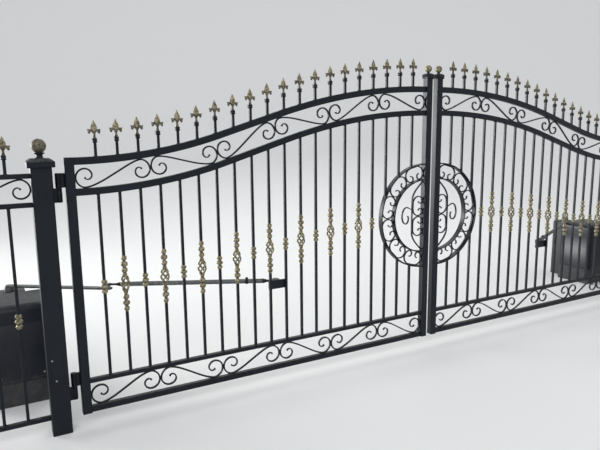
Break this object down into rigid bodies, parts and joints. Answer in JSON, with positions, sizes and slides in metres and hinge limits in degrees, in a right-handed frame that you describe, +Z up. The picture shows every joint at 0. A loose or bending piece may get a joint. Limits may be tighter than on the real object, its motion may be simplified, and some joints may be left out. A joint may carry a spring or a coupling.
{
  "type": "driveway gate",
  "caption": "Wrought iron driveway gate: hinged leaves with an ogee top, half rings of scrollwork at the meeting stiles and spear finials, between ball-topped posts with matching fence bays.",
  "frame": {"origin": "middle of the left gate post's foot, at ground level", "axes": "+X along the gate from the left post to the right post, +Y into the drive, away from the viewer, +Z up"},
  "size_m": [7.8966, 1.069, 2.1344],
  "materials": {
    "black_paint": "satin",
    "old_gold": "satin",
    "galvanised": "matte",
    "drive_paint": "satin"
  },
  "bodies": {
    "posts_and_fence": {"left_drive_housing": "drive_paint", "left_end_post": "black_paint", "left_fence_beads": "old_gold", "left_fence_pickets": "black_paint", "left_fence_rails": "black_paint", "left_fence_scrolls": "black_paint", "left_fence_spears": "old_gold", "left_gate_post": "black_paint", "left_post_hinges": "black_paint", "post_balls": "old_gold", "post_caps": "black_paint", "right_drive_housing": "drive_paint", "right_end_post": "black_paint", "right_fence_beads": "old_gold", "right_fence_pickets": "black_paint", "right_fence_rails": "black_paint", "right_fence_scrolls": "black_paint", "right_fence_spears": "old_gold", "right_gate_post": "black_paint", "right_post_hinges": "black_paint"},
    "left_leaf": {"left_arch_rail": "black_paint", "left_arch_scrolls": "black_paint", "left_arm_bracket": "black_paint", "left_bottom_rails": "black_paint", "left_bottom_scrolls": "black_paint", "left_bow_scrolls": "black_paint", "left_finials": "old_gold", "left_hinge_barrels": "black_paint", "left_hinge_stile": "black_paint", "left_meeting_stile": "black_paint", "left_picket_ornaments": "old_gold", "left_pickets": "black_paint", "left_ring_scrolls": "black_paint", "left_rings": "black_paint", "left_stile_cap": "black_paint", "left_top_rail": "black_paint"},
    "right_leaf": {"right_arch_rail": "black_paint", "right_arch_scrolls": "black_paint", "right_arm_bracket": "black_paint", "right_bottom_rails": "black_paint", "right_bottom_scrolls": "black_paint", "right_bow_scrolls": "black_paint", "right_finials": "old_gold", "right_hinge_barrels": "black_paint", "right_hinge_stile": "black_paint", "right_meeting_stile": "black_paint", "right_picket_ornaments": "old_gold", "right_pickets": "black_paint", "right_ring_scrolls": "black_paint", "right_rings": "black_paint", "right_stile_cap": "black_paint", "right_top_rail": "black_paint"},
    "left_link": {"left_link": "galvanised"},
    "right_link": {"right_link": "galvanised"},
    "left_crank": {"left_crank": "galvanised"},
    "right_crank": {"right_crank": "galvanised"}
  },
  "joints": [
    {"name": "left_leaf_hinge", "type": "hinge", "parent": "posts_and_fence", "child": "left_leaf", "pos_m": [0.082, 0.017, 1], "axis": [0, 0, 1], "range_deg": [0, 90]},
    {"name": "left_crank_shaft", "type": "hinge", "parent": "posts_and_fence", "child": "left_crank", "pos_m": [-0.181, 0.927, 0.6415], "axis": [0, 0, 1], "range_deg": [-50, 0]},
    {"name": "left_link_pin", "type": "hinge", "parent": "left_leaf", "child": "left_link", "pos_m": [1.36315, 0.046, 0.668], "axis": [0, 0, 1], "range_deg": [0, 20]},
    {"name": "right_leaf_hinge", "type": "hinge", "parent": "posts_and_fence", "child": "right_leaf", "pos_m": [5.1906, 0.017, 1], "axis": [0, 0, 1], "range_deg": [-90, 0]},
    {"name": "right_crank_shaft", "type": "hinge", "parent": "posts_and_fence", "child": "right_crank", "pos_m": [5.4536, 0.927, 0.6415], "axis": [0, 0, 1], "range_deg": [0, 50]},
    {"name": "right_link_pin", "type": "hinge", "parent": "right_leaf", "child": "right_link", "pos_m": [3.90945, 0.046, 0.668], "axis": [0, 0, 1], "range_deg": [-20, 0]}
  ],
  "couplings": [
    {"joint": "left_crank_shaft", "follows": "left_leaf_hinge", "ratio": -0.55457},
    {"joint": "left_link_pin", "follows": "left_leaf_hinge", "ratio": 0.18267},
    {"joint": "right_crank_shaft", "follows": "right_leaf_hinge", "ratio": -0.55457},
    {"joint": "right_link_pin", "follows": "right_leaf_hinge", "ratio": 0.18267}
  ]
}
